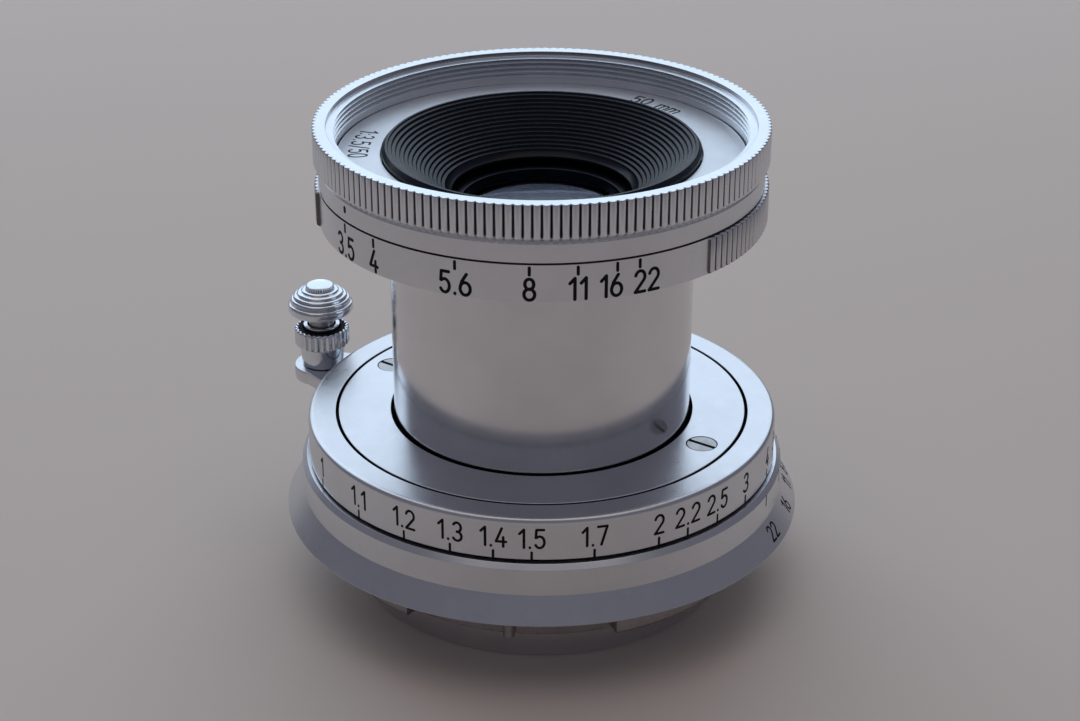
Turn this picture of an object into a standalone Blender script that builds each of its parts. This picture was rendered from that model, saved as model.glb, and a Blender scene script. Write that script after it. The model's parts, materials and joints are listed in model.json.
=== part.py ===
"""Collapsible 50 mm camera lens with a four-lug bayonet, standing front upwards.

The origin is on the optical axis at the mounting flange, with +Z towards the front. The lens is
drawn extended and focused on infinity with its iris open. All driving dimensions are in
millimetres; azimuths are in degrees from -Y towards +X.
"""
import math

import bmesh
import bpy
from mathutils import Matrix, Vector

MM = 0.001

# Levels along the optical axis
STAND_Z = -7.5            # rear face of the rangefinder cam ring
LUG_LOW, LUG_HIGH = -4.2, -1.6
COLLAR_LOW, COLLAR_HIGH = -4.6, 1.2
BAND_TOP = 5.4            # top of the fixed band above the flange
DISC_TOP = 9.75           # top of the focusing ring and of the cover disc
DISC_LOW = 8.75
SLEEVE_TOP = 8.6
HEAD_LOW = 29.95          # underside of the head
APERTURE_TOP = 33.35
INDEX_LOW, INDEX_TOP = 33.5, 35.5
RIM_LOW, RIM_TOP = 35.6, 38.9
NAME_TOP = 35.87
LIP_TOP = 36.63           # front edge of the black baffle

# Radii
FLANGE_R = 25.0
BAND_R = 23.35
FLANGE_BORE_R = 20.5
LUG_R = 21.95
COLLAR_R, COLLAR_BORE_R = 20.2, 18.6
FOCUS_R, FOCUS_BORE_R = 22.6, 19.7
DISC_R, DISC_BORE_R = 19.66, 14.62
SLEEVE_R, SLEEVE_BORE_R = 19.5, 15.6
SLEEVE_TAIL_R = 18.2
TUBE_R, TUBE_BORE_R = 14.3, 13.6
HEAD_R, HEAD_BORE_R = 19.3, 13.2
APERTURE_R, APERTURE_BORE_R = 20.65, 19.5
GRIP_R = 21.0
INDEX_R = 20.6
RIM_R = 21.0
GLASS_R = 7.9
REAR_GLASS_R = 7.6

# The infinity-lock knob on the focusing ring
KNOB_AZIMUTH = -122.0
KNOB_R_FROM_AXIS = 26.6
TAB_LOW, TAB_TOP = 5.9, 7.3
TAB_LOBE_R = 3.0
STEM_R, STEM_HOLE_R = 0.6, 0.75
CATCH_LOW, CATCH_TOP = 2.9, 3.7
CATCH_OUTER_R = 25.8      # clear of the stem, but in the way of the plunger's wider foot
FOOT_R, CATCH_SEAT_R = 1.25, 1.45

# Lugs, screws and iris
LUG_CENTRES = (-54.0, 36.0, 126.0, 216.0)
LUG_SPAN = 33.0
GRIP_STARTS = (44.5, 224.5)
GRIP_SPAN = 56.5
COVER_SCREW_AZIMUTHS = (60.8, -119.2)
COVER_SCREW_R = 17.2
BAYONET_SCREW_R = 19.4
BLADE_COUNT = 10
BLADE_PIVOT_R = 9.2
BLADE_THICKNESS = 0.07
BLADE_PITCH = 0.12        # each blade lies this far in front of the last
BLADE_FIRST_Z = 26.72
BLADE_INNER_R, BLADE_OUTER_R = 6.7, 8.6
BLADE_SPAN = 115.0
IRIS_BASE_LOW, IRIS_BASE_TOP = 28.0, 28.55
APERTURE_PIN_AZIMUTH = 180.0
APERTURE_TURN = 81.1      # from the widest to the smallest opening

BIG, MEDIUM, SMALL = 40, 24, 14   # sides of a large ring, an inner ring and a screw

PART = "collapsible_lens"


# ---- scene, materials and collections ---------------------------------------------------

def clear_scene():
    for obj in list(bpy.data.objects):
        bpy.data.objects.remove(obj, do_unlink=True)


def collection(name):
    group = bpy.data.collections.new(name)
    bpy.context.scene.collection.children.link(group)
    return group


def material(name, colour, roughness, metallic, transmission=0.0):
    mat = bpy.data.materials.new(name)
    mat.use_nodes = True
    shader = mat.node_tree.nodes["Principled BSDF"]
    shader.inputs["Base Color"].default_value = (*colour, 1.0)
    shader.inputs["Roughness"].default_value = roughness
    shader.inputs["Metallic"].default_value = metallic
    shader.inputs["Transmission Weight"].default_value = transmission
    return mat


clear_scene()
PARTS = collection(PART)
CUTTERS = collection(PART + "_cutters")

SATIN = material("satin_chrome", (0.72, 0.73, 0.75), 0.32, 1.0)
POLISHED = material("polished_chrome", (0.80, 0.81, 0.83), 0.12, 1.0)
BLACK = material("black_anodised", (0.015, 0.016, 0.018), 0.45, 0.0)
BRASS = material("brass", (0.62, 0.48, 0.22), 0.35, 1.0)
STEEL = material("steel", (0.45, 0.45, 0.46), 0.35, 1.0)
BLUED = material("blued_steel", (0.04, 0.045, 0.06), 0.40, 1.0)
GLASS = material("coated_glass", (0.90, 0.94, 0.97), 0.02, 0.0, 1.0)
RED = material("index_bead", (0.55, 0.02, 0.02), 0.30, 0.0)


# ---- geometry helpers -------------------------------------------------------------------

def spot(radius, azimuth, height):
    """The point in metres at a radius, an azimuth from -Y and a height, all in mm and degrees."""
    angle = math.radians(azimuth - 90.0)
    return Vector((radius * math.cos(angle), radius * math.sin(angle), height)) * MM


def add(name, mesh, mat, group=PARTS):
    obj = bpy.data.objects.new(name, mesh)
    group.objects.link(obj)
    if mat is not None and not mesh.materials:
        mesh.materials.append(mat)
    return obj


def as_cutter(obj):
    obj.hide_render = True
    obj.display_type = "WIRE"
    return obj


def turned(name, outline, mat, sides=BIG, group=PARTS):
    """A ring or a solid of revolution from a closed outline: down outside, then up inside."""
    mesh = bpy.data.meshes.new(name)
    points = [(radius * MM, 0.0, height * MM) for radius, height in outline]
    count = len(points)
    on_axis = outline[0][0] == 0.0 and outline[-1][0] == 0.0
    links = count - 1 if on_axis else count
    mesh.from_pydata(points, [(i, (i + 1) % count) for i in range(links)], [])
    obj = add(name, mesh, mat, group)
    screw = obj.modifiers.new("turn", "SCREW")
    screw.axis = "Z"
    screw.angle = math.tau
    screw.steps = sides
    screw.render_steps = sides
    screw.use_merge_vertices = True
    screw.merge_threshold = 1e-6
    screw.use_smooth_shade = True
    return obj


def plate(name, outline, low, high, mat=None, group=PARTS):
    """A flat plate: an outline in mm in the XY plane, between two heights."""
    curve = bpy.data.curves.new(name, "CURVE")
    curve.dimensions = "2D"
    curve.fill_mode = "BOTH"
    curve.extrude = (high - low) / 2.0 * MM
    spline = curve.splines.new("POLY")
    spline.points.add(len(outline) - 1)
    for point, (x, y) in zip(spline.points, outline):
        point.co = (x * MM, y * MM, 0.0, 1.0)
    spline.use_cyclic_u = True
    flat = bpy.data.objects.new(name + "_outline", curve)
    group.objects.link(flat)
    flat.location.z = (low + high) / 2.0 * MM
    bpy.context.view_layer.update()
    graph = bpy.context.evaluated_depsgraph_get()
    mesh = bpy.data.meshes.new_from_object(flat.evaluated_get(graph))
    place = flat.matrix_world.copy()
    bpy.data.objects.remove(flat, do_unlink=True)
    welded = bmesh.new()
    welded.from_mesh(mesh)
    bmesh.ops.remove_doubles(welded, verts=welded.verts, dist=1e-7)
    bmesh.ops.recalc_face_normals(welded, faces=welded.faces)
    welded.to_mesh(mesh)
    welded.free()
    mesh.name = name
    obj = add(name, mesh, mat, group)
    obj.matrix_world = place
    return obj


def arc(radius, start, end, steps, centre=(0.0, 0.0)):
    """Points in mm on an arc between two azimuths."""
    points = []
    for i in range(steps + 1):
        angle = math.radians(start + (end - start) * i / steps - 90.0)
        points.append((centre[0] + radius * math.cos(angle), centre[1] + radius * math.sin(angle)))
    return points


def sector(name, inner, outer, low, high, start, end, steps=12, group=CUTTERS):
    """A block bent around the axis between two radii, two heights and two azimuths."""
    outline = arc(outer, start, end, steps) + arc(inner, end, start, steps)
    return plate(name, outline, low, high, group=group)


def rod(name, radius, low, high, mat=None, sides=SMALL, group=PARTS):
    """A plain round bar along Z."""
    mesh = bpy.data.meshes.new(name)
    shape = bmesh.new()
    length = (high - low) * MM
    bmesh.ops.create_cone(shape, cap_ends=True, segments=sides, radius1=radius * MM,
                          radius2=radius * MM, depth=length,
                          matrix=Matrix.Translation((0.0, 0.0, (high + low) / 2.0 * MM)))
    shape.to_mesh(mesh)
    shape.free()
    return add(name, mesh, mat, group)


def block(name, size, centre, azimuth, mat=None, group=PARTS):
    """A box: (radial, tangential, axial) size in mm, centred at (radius, height)."""
    mesh = bpy.data.meshes.new(name)
    shape = bmesh.new()
    bmesh.ops.create_cube(shape, size=1.0, matrix=Matrix.Diagonal((*(s * MM for s in size), 1.0)))
    shape.to_mesh(mesh)
    shape.free()
    obj = add(name, mesh, mat, group)
    obj.location = spot(centre[0], azimuth, centre[1])
    obj.rotation_euler.z = math.radians(azimuth - 90.0)
    return obj


def boolean(target, other, operation):
    change = target.modifiers.new(operation.lower(), "BOOLEAN")
    change.operation = operation
    change.solver = "EXACT"
    change.object = other
    as_cutter(other)


def cut(target, cutter):
    boolean(target, cutter, "DIFFERENCE")


def join(target, other):
    boolean(target, other, "UNION")


def countersunk_screw(name, place, head_r, top, bottom, head_depth):
    """A slotted flush screw whose axis is along Z, with its head at the top."""
    shank_r = head_r * 0.5
    neck = top - head_depth
    outline = [(0.0, top), (head_r, top), (head_r, top - head_depth * 0.5), (shank_r, neck),
               (shank_r, bottom), (0.0, bottom)]
    screw = turned(name, outline, STEEL, SMALL)
    screw.location = place
    slot = block(name + "_slot", (head_r * 3.0, head_r * 0.3, head_depth * 0.7), (0.0, top), 0.0,
                 group=CUTTERS)
    slot.location = place + Vector((0.0, 0.0, top * MM))
    slot.rotation_euler.z = math.radians(-35.0)
    cut(screw, slot)
    return screw


# ---- the fixed mount --------------------------------------------------------------------

def build_mount():
    turned("mount_flange", [
        (BAND_R - 0.45, BAND_TOP), (BAND_R, BAND_TOP - 0.45), (BAND_R, 2.4), (FLANGE_R, 0.2),
        (FLANGE_R - 0.2, 0.0), (FLANGE_BORE_R, 0.0), (FLANGE_BORE_R, BAND_TOP)], SATIN)

    bayonet = turned("bayonet_ring", [
        (COLLAR_R, COLLAR_HIGH), (COLLAR_R, LUG_HIGH), (LUG_R, LUG_HIGH), (LUG_R, LUG_LOW),
        (COLLAR_R, LUG_LOW), (COLLAR_R, COLLAR_LOW), (COLLAR_BORE_R, COLLAR_LOW),
        (COLLAR_BORE_R, COLLAR_HIGH)], POLISHED)
    for i, centre in enumerate(LUG_CENTRES):
        start = centre + LUG_SPAN / 2.0
        gap = sector(f"lug_gap_{i + 1}", COLLAR_R + 0.05, LUG_R + 1.0, LUG_LOW - 0.2,
                     LUG_HIGH + 0.2, start, start + 90.0 - LUG_SPAN)
        cut(bayonet, gap)

    for i, centre in enumerate(LUG_CENTRES):
        place = spot(BAYONET_SCREW_R, centre + 45.0, 0.0)
        hole = rod(f"bayonet_screw_hole_{i + 1}", 0.62, COLLAR_LOW - 0.5, -2.2, sides=12,
                   group=CUTTERS)
        hole.location = place
        cut(bayonet, hole)
        outline = [(0.0, -2.4), (0.5, -2.4), (0.5, COLLAR_LOW + 0.05), (0.0, COLLAR_LOW + 0.05)]
        screw = turned(f"bayonet_screw_{i + 1}", outline, STEEL, 12)
        screw.location = place
        slot = block(f"bayonet_screw_slot_{i + 1}", (1.5, 0.16, 0.5), (0.0, 0.0), 0.0,
                     group=CUTTERS)
        slot.location = place + Vector((0.0, 0.0, COLLAR_LOW * MM))
        slot.rotation_euler.z = math.radians(40.0 * i)
        cut(screw, slot)

    block("guide_key", (1.0, 3.0, 2.5), (17.85, -0.45), 180.0, STEEL)

    start, end = KNOB_AZIMUTH - 7.0, KNOB_AZIMUTH + 7.0
    catch = plate("infinity_catch",
                  arc(CATCH_OUTER_R, start, end, 10) + arc(BAND_R + 0.12, end, start, 10),
                  CATCH_LOW, CATCH_TOP, STEEL)
    seat = rod("catch_seat", CATCH_SEAT_R, CATCH_LOW - 1.0, CATCH_TOP + 1.0, sides=20,
               group=CUTTERS)
    seat.location = spot(KNOB_R_FROM_AXIS, KNOB_AZIMUTH, 0.0)
    cut(catch, seat)

    bead = turned("mount_index_bead", [
        (0.0, 0.95), (0.6, 0.8), (0.95, 0.35), (0.95, 0.0), (0.0, 0.0)], RED, 16)
    bead.location = spot(24.33, 165.0, 1.32)
    lean = math.atan2(2.2, 1.65)
    bead.rotation_euler = (0.0, lean, math.radians(165.0 - 90.0))


# ---- the focusing ring and its infinity lock ----------------------------------------------

def build_focus():
    turned("focus_ring", [
        (FOCUS_R - 0.4, DISC_TOP), (FOCUS_R - 0.1, DISC_TOP - 0.1), (FOCUS_R, DISC_TOP - 0.4),
        (FOCUS_R, 5.65), (20.25, 5.65), (20.25, 1.4), (FOCUS_BORE_R, 1.4),
        (FOCUS_BORE_R, SLEEVE_TOP), (19.95, SLEEVE_TOP), (19.95, DISC_TOP)], SATIN)

    centre = spot(KNOB_R_FROM_AXIS, KNOB_AZIMUTH, 0.0) / MM
    lobe = arc(TAB_LOBE_R, KNOB_AZIMUTH - 95.0, KNOB_AZIMUTH + 95.0, 14, (centre.x, centre.y))
    root = arc(FOCUS_R + 0.1, KNOB_AZIMUTH + 11.0, KNOB_AZIMUTH - 11.0, 6)
    tab = plate("focus_tab", lobe + root, TAB_LOW, TAB_TOP, SATIN)
    hole = rod("stem_hole", STEM_HOLE_R, TAB_LOW - 1.0, TAB_TOP + 1.0, group=CUTTERS)
    hole.location = spot(KNOB_R_FROM_AXIS, KNOB_AZIMUTH, 0.0)
    cut(tab, hole)

    place = spot(KNOB_R_FROM_AXIS, KNOB_AZIMUTH, 0.0)
    post = turned("knob_post", [
        (1.85, 11.75), (1.85, 9.55), (2.3, 9.5), (2.15, 7.4), (STEM_HOLE_R, 7.4),
        (STEM_HOLE_R, 8.2), (1.45, 8.2), (1.45, 11.75)], POLISHED, 24)
    post.location = place
    collar = turned("knob_collar", [
        (2.6, 11.4), (2.8, 11.2), (2.8, 9.8), (2.6, 9.6), (1.95, 9.6), (1.95, 11.4)],
        POLISHED, 24)
    collar.location = place

    cap = turned("lock_cap", [
        (0.0, 16.05), (1.1, 15.95), (2.2, 15.3), (3.0, 14.4), (3.3, 13.6), (3.2, 13.2),
        (1.9, 12.75), (0.0, 12.75)], POLISHED, 24)
    cap.location = place
    plunger = turned("lock_plunger", [
        (0.0, 12.7), (1.3, 12.7), (1.3, 11.6), (STEM_R, 11.6), (STEM_R, CATCH_TOP - 0.05),
        (FOOT_R, CATCH_TOP - 0.05), (FOOT_R, CATCH_LOW + 0.05), (0.0, CATCH_LOW + 0.05)], STEEL, 16)
    plunger.location = place
    build_lock_spring(place)


def build_lock_spring(place):
    """The coil that holds the lock's button up, around its stem."""
    curve = bpy.data.curves.new("lock_spring", "CURVE")
    curve.dimensions = "3D"
    curve.bevel_depth = 0.14 * MM
    curve.bevel_resolution = 0
    curve.use_fill_caps = True
    turns, per_turn = 4, 9
    low, high, radius = 8.4, 11.4, 1.08
    spline = curve.splines.new("POLY")
    spline.points.add(turns * per_turn)
    for i, point in enumerate(spline.points):
        angle = math.tau * i / per_turn
        height = low + (high - low) * i / (turns * per_turn)
        point.co = (radius * math.cos(angle) * MM, radius * math.sin(angle) * MM, height * MM, 1.0)
    curve.materials.append(STEEL)
    spring = bpy.data.objects.new("lock_spring", curve)
    PARTS.objects.link(spring)
    spring.location = place


# ---- the helicoid carrier that moves the optics ---------------------------------------------

def build_carrier():
    sleeve = turned("helicoid_sleeve", [
        (SLEEVE_R, SLEEVE_TOP), (SLEEVE_R, 1.7), (SLEEVE_TAIL_R, 1.6),
        (SLEEVE_TAIL_R, COLLAR_LOW), (SLEEVE_BORE_R, COLLAR_LOW), (SLEEVE_BORE_R, SLEEVE_TOP)],
        BRASS)
    keyway = block("keyway", (2.4, 3.4, 6.2), (18.3, -2.0), 180.0, group=CUTTERS)
    cut(sleeve, keyway)

    disc = turned("cover_disc", [
        (DISC_R - 0.1, DISC_TOP), (DISC_R, DISC_TOP - 0.1), (DISC_R, DISC_LOW),
        (DISC_BORE_R, DISC_LOW), (DISC_BORE_R, DISC_TOP)], SATIN)
    for i, azimuth in enumerate(COVER_SCREW_AZIMUTHS):
        place = spot(COVER_SCREW_R, azimuth, 0.0)
        head_hole = rod(f"cover_screw_hole_{i + 1}", 1.55, DISC_LOW - 0.5, DISC_TOP + 0.5,
                        group=CUTTERS)
        head_hole.location = place
        cut(disc, head_hole)
        shank_hole = rod(f"cover_shank_hole_{i + 1}", 0.9, 6.4, SLEEVE_TOP + 0.5,
                         sides=12, group=CUTTERS)
        shank_hole.location = place
        cut(sleeve, shank_hole)
        countersunk_screw(f"cover_screw_{i + 1}", place, 1.42, DISC_TOP - 0.02, 6.6, 1.0)

    turned("cam_ring", [
        (18.2, -4.75), (18.2, STAND_Z + 0.2), (18.0, STAND_Z), (16.4, STAND_Z), (16.4, -4.75)],
        POLISHED)


# ---- the sliding tube and the head ------------------------------------------------------------

def build_tube():
    bush = turned("tube_lock_bush", [
        (15.45, 8.4), (15.45, 5.2), (14.75, 5.2), (14.75, 8.4)], BRASS)
    cut(bush, block("bush_split", (3.0, 0.8, 5.0), (15.1, 6.8), 180.0, group=CUTTERS))

    turned("tube", [(TUBE_R, 30.6), (TUBE_R, 1.2), (TUBE_BORE_R, 1.2), (TUBE_BORE_R, 30.6)],
           POLISHED)
    lugs = turned("tube_lug_ring", [(15.4, 5.0), (15.4, 2.4), (14.4, 2.4), (14.4, 5.0)], BRASS)
    for i in range(3):
        gap = sector(f"tube_lug_gap_{i + 1}", 14.9, 16.5, 1.5, 6.0, 20.0 + 120.0 * i,
                     100.0 + 120.0 * i)
        cut(lugs, gap)


def build_head():
    body = turned("head_body", [
        (HEAD_R, 35.3), (HEAD_R, 30.0), (14.4, 30.0), (14.4, 30.75), (HEAD_BORE_R, 30.75),
        (HEAD_BORE_R, 35.3)], SATIN)
    pin_slot = sector("aperture_pin_slot", HEAD_BORE_R - 1.0, HEAD_R + 1.0, 31.0, 32.6,
                      APERTURE_PIN_AZIMUTH - APERTURE_TURN - 3.5, APERTURE_PIN_AZIMUTH + 3.5, 16)
    cut(body, pin_slot)

    turned("index_ring", [
        (INDEX_R - 0.3, INDEX_TOP), (INDEX_R, INDEX_TOP - 0.3), (INDEX_R, INDEX_LOW),
        (19.4, INDEX_LOW), (19.4, INDEX_TOP)], SATIN)
    turned("front_rim", [
        (RIM_R - 0.15, RIM_TOP), (RIM_R, RIM_TOP - 0.15), (RIM_R, RIM_LOW + 0.15),
        (RIM_R - 0.15, RIM_LOW), (19.0, RIM_LOW), (19.0, 36.8), (19.3, 36.85), (19.3, 38.4),
        (19.74, 38.45), (19.74, RIM_TOP)], SATIN)
    turned("name_ring", [
        (18.9, NAME_TOP), (18.9, 35.4), (14.85, 35.4), (14.85, NAME_TOP)], SATIN)
    turned("baffle_cone", [
        (14.4, LIP_TOP), (14.75, 36.3), (14.75, 35.4), (13.05, 35.4), (13.05, 34.85),
        (9.2, 31.85), (8.35, 31.85), (8.35, 32.15), (14.1, 36.42), (14.2, LIP_TOP)], BLACK)

    ring = turned("aperture_ring", [
        (APERTURE_R - 0.3, APERTURE_TOP), (APERTURE_R, APERTURE_TOP - 0.3),
        (APERTURE_R, HEAD_LOW + 0.2), (APERTURE_R - 0.2, HEAD_LOW), (APERTURE_BORE_R, HEAD_LOW),
        (APERTURE_BORE_R, APERTURE_TOP)], SATIN)
    for i, start in enumerate(GRIP_STARTS):
        grip = sector(f"grip_{i + 1}", 20.0, GRIP_R, HEAD_LOW + 0.1, APERTURE_TOP - 0.1, start,
                      start + GRIP_SPAN)
        join(ring, grip)
    pin = rod("aperture_pin", 0.5, 12.9, 19.4, STEEL, 12)
    pin.rotation_euler = (math.radians(-90.0), 0.0, 0.0)
    pin.location = (0.0, 0.0, 31.8 * MM)
    turned("iris_drive_sleeve", [
        (12.8, 32.6), (12.8, 26.2), (9.9, 26.2), (9.9, 26.6), (11.6, 26.6), (11.6, 32.6)],
        BRASS, MEDIUM)


# ---- the optics ---------------------------------------------------------------------------

def dome(edge_r, bulge, edge_z, steps):
    """Points from the axis out to the edge of a lens face that bulges forwards by `bulge`."""
    points = []
    for i in range(steps + 1):
        radius = edge_r * i / steps
        points.append((radius, edge_z + bulge * (1.0 - (radius / edge_r) ** 2)))
    return points


def lens_element(name, edge_r, front, rear, sides=MEDIUM, steps=3):
    """A lens: front and rear are (height at the edge, bulge towards the front)."""
    outline = dome(edge_r, front[1], front[0], steps) + dome(edge_r, rear[1], rear[0], steps)[::-1]
    return turned(name, outline, GLASS, sides)


def build_optics():
    turned("front_cell", [
        (13.05, 33.3), (13.05, 32.8), (11.3, 32.8), (11.3, 28.65), (7.4, 28.65), (7.4, 29.1),
        (8.1, 29.1), (8.1, 31.0), (10.5, 31.0), (10.5, 32.4), (11.5, 33.3)], BLACK, MEDIUM)
    turned("front_retainer", [(8.0, 31.2), (8.0, 30.1), (7.45, 30.1), (7.45, 31.2)], BLACK, MEDIUM)
    lens_element("element_1_front", GLASS_R, (29.9, 1.0), (29.2, 0.1))

    turned("rear_cell", [
        (13.4, 26.0), (13.4, 23.6), (8.9, 23.2), (8.9, 12.8), (6.2, 12.8), (6.2, 13.3),
        (7.7, 13.3), (7.7, 26.0)], BLACK, MEDIUM)
    turned("group_retainer", [(7.6, 25.9), (7.6, 25.45), (6.6, 25.45), (6.6, 25.9)], BLACK,
           MEDIUM)
    lens_element("element_2_negative", REAR_GLASS_R, (25.35, -0.7), (23.0, 1.1))
    turned("spacer_ring", [(7.6, 22.9), (7.6, 18.6), (6.9, 18.6), (6.9, 22.9)], BLACK, MEDIUM)
    lens_element("element_3_negative", REAR_GLASS_R, (18.45, -0.5), (16.3, 1.3))
    lens_element("element_4_rear", REAR_GLASS_R, (16.2, 1.3), (13.9, -0.4))


def blade_outline(pivot_azimuth):
    """A crescent whose tab holds the pivot; the crescent trails the pivot by BLADE_SPAN."""
    tip = pivot_azimuth - BLADE_SPAN
    pivot = spot(BLADE_PIVOT_R, pivot_azimuth, 0.0) / MM
    outer = arc(BLADE_OUTER_R, pivot_azimuth - 6.0, tip, 10)
    inner = arc(BLADE_INNER_R, tip, pivot_azimuth + 3.0, 10)
    tab = arc(0.62, pivot_azimuth + 95.0, pivot_azimuth - 60.0, 8, (pivot.x, pivot.y))
    return inner + tab + outer


def build_iris():
    base = turned("iris_base_ring", [
        (11.3, IRIS_BASE_TOP), (11.3, IRIS_BASE_LOW), (7.5, IRIS_BASE_LOW),
        (7.5, IRIS_BASE_TOP)], BRASS, 3 * BLADE_COUNT)
    for i in range(BLADE_COUNT):
        azimuth = 360.0 / BLADE_COUNT * i
        place = spot(BLADE_PIVOT_R, azimuth, 0.0)
        hole = rod(f"pivot_hole_{i + 1:02d}", 0.42, IRIS_BASE_LOW - 0.3, IRIS_BASE_TOP + 0.3,
                   sides=10, group=CUTTERS)
        hole.location = place
        cut(base, hole)
        low = BLADE_FIRST_Z + BLADE_PITCH * i
        blade = plate(f"iris_blade_{i + 1:02d}", blade_outline(azimuth), low,
                      low + BLADE_THICKNESS, BLUED)
        pin = rod(f"blade_pin_{i + 1:02d}", 0.3, low + BLADE_THICKNESS * 0.5, IRIS_BASE_TOP - 0.1,
                  sides=8, group=CUTTERS)
        pin.location = place
        join(blade, pin)


build_mount()
build_focus()
build_carrier()
build_tube()
build_head()
build_optics()
build_iris()
bpy.context.view_layer.update()
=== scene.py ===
"""Looks of a collapsible 50 mm camera lens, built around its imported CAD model.

Lengths are in millimetres and turned into metres where vertices are made. An azimuth is in degrees,
from -Y towards +X, so it grows to the right as the camera sees the front of the lens. Levels and
outer radii come from the CAD nodes' boxes; the inner steps of an outline repeat the CAD model's.
"""
import json
import math

import bmesh
import bpy
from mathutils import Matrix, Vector

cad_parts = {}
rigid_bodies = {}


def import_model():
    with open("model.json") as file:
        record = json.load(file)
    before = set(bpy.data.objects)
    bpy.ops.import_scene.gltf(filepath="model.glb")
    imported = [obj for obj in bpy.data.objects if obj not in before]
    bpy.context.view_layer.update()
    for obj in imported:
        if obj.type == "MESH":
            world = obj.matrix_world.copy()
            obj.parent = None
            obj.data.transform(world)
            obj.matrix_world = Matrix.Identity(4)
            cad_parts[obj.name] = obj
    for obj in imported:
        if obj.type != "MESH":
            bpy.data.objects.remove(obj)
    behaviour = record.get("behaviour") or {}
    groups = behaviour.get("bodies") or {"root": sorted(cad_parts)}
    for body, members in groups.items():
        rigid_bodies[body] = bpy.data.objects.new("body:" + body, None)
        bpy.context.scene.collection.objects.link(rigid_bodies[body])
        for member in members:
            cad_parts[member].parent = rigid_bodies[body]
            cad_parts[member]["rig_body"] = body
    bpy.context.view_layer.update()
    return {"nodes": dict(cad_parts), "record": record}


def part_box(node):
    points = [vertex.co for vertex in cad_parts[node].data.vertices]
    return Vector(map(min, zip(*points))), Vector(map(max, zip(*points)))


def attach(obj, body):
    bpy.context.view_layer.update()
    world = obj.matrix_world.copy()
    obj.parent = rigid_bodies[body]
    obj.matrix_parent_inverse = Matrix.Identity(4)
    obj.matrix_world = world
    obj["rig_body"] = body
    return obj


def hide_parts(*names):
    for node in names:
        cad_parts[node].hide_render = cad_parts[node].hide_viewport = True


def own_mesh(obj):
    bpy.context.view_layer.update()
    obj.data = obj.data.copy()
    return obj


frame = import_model()

MM = 0.001

SEGMENTS = 288            # steps around a plain ring
KNURL_TEETH = 162
KNURL_SEGMENTS = KNURL_TEETH * 8
KNURL_DEPTH = 0.32
GROOVE_DEPTH = KNURL_DEPTH / 2.0   # faces deeper than this take a darker metal
KNURL_BAND = 0.45         # radii this close to the outer one carry teeth
EDGE = 0.06               # fillet on a turned corner
EDGE_SUPPORT = 0.03       # how far beyond a fillet its supporting points lie
SHARP = math.radians(38.0)
PAINT_HEIGHT = 0.008      # how far the engraving's paint stands proud
PAINT_LAYER = 0.002       # keeps strokes that cross at different heights
PAINT_DEPTH = 0.04
NOISE_LOW, NOISE_HIGH = 0.3, 0.7   # the part of a noise that is spread over a range

GRIP_STARTS = (44.5, 224.5)
GRIP_SPAN = 56.5
KNOB_AZIMUTH = -122.0
KNOB_R_FROM_AXIS = 26.6
FULL_OPENING = 3.5
FOCUS_R = 22.6
FOCUS_SIDE_LOW = 5.65
APERTURE_R = 20.65
PLUNGER_SHOULDER = 11.6


# ---- reading the frame ------------------------------------------------------------------------

def low(node):
    """The height of a CAD node's lowest point, in mm."""
    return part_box(node)[0].z / MM


def top(node):
    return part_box(node)[1].z / MM


def reach(node):
    """The outer radius of a CAD node that is centred on the optical axis, in mm."""
    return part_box(node)[1].x / MM


def middle(node):
    """The centre of a CAD node's box seen from above, in mm."""
    lowest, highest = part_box(node)
    return Vector(((lowest.x + highest.x) / 2.0, (lowest.y + highest.y) / 2.0, 0.0)) / MM


def polar(radius, azimuth, height):
    """A point in mm, from cylinder coordinates around the optical axis."""
    angle = math.radians(azimuth - 90.0)
    return Vector((radius * math.cos(angle), radius * math.sin(angle), height))


# ---- materials --------------------------------------------------------------------------------

def new_material(name):
    """A material with its node tree and its Principled shader."""
    mat = bpy.data.materials.new(name)
    mat.use_nodes = True
    tree = mat.node_tree
    return mat, tree, tree.nodes["Principled BSDF"]


def turning_coordinates(tree, along):
    """Coordinates (radius, height) that stay constant around the axis, as a lathe's marks do."""
    coords = tree.nodes.new("ShaderNodeTexCoord")
    split = tree.nodes.new("ShaderNodeSeparateXYZ")
    tree.links.new(coords.outputs["Object"], split.inputs["Vector"])
    flat = tree.nodes.new("ShaderNodeCombineXYZ")
    tree.links.new(split.outputs["X"], flat.inputs["X"])
    tree.links.new(split.outputs["Y"], flat.inputs["Y"])
    length = tree.nodes.new("ShaderNodeVectorMath")
    length.operation = "LENGTH"
    tree.links.new(flat.outputs["Vector"], length.inputs[0])
    joined = tree.nodes.new("ShaderNodeCombineXYZ")
    tree.links.new(length.outputs["Value"], joined.inputs["X"])
    tree.links.new(split.outputs["Z"], joined.inputs["Y"])
    scaled = tree.nodes.new("ShaderNodeVectorMath")
    scaled.operation = "SCALE"
    scaled.inputs["Scale"].default_value = along
    tree.links.new(joined.outputs["Vector"], scaled.inputs[0])
    return scaled.outputs["Vector"]


def noise(tree, scale, detail=3.0, vector=None):
    node = tree.nodes.new("ShaderNodeTexNoise")
    node.inputs["Scale"].default_value = scale
    node.inputs["Detail"].default_value = detail
    node.inputs["Roughness"].default_value = 0.6
    if vector is None:
        coords = tree.nodes.new("ShaderNodeTexCoord")
        vector = coords.outputs["Object"]
    tree.links.new(vector, node.inputs["Vector"])
    return node.outputs["Fac"]


def spread(tree, value, lowest, highest):
    """Maps a noise onto a range."""
    node = tree.nodes.new("ShaderNodeMapRange")
    node.inputs["From Min"].default_value = NOISE_LOW
    node.inputs["From Max"].default_value = NOISE_HIGH
    node.inputs["To Min"].default_value = lowest
    node.inputs["To Max"].default_value = highest
    tree.links.new(value, node.inputs["Value"])
    return node.outputs["Result"]


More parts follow.
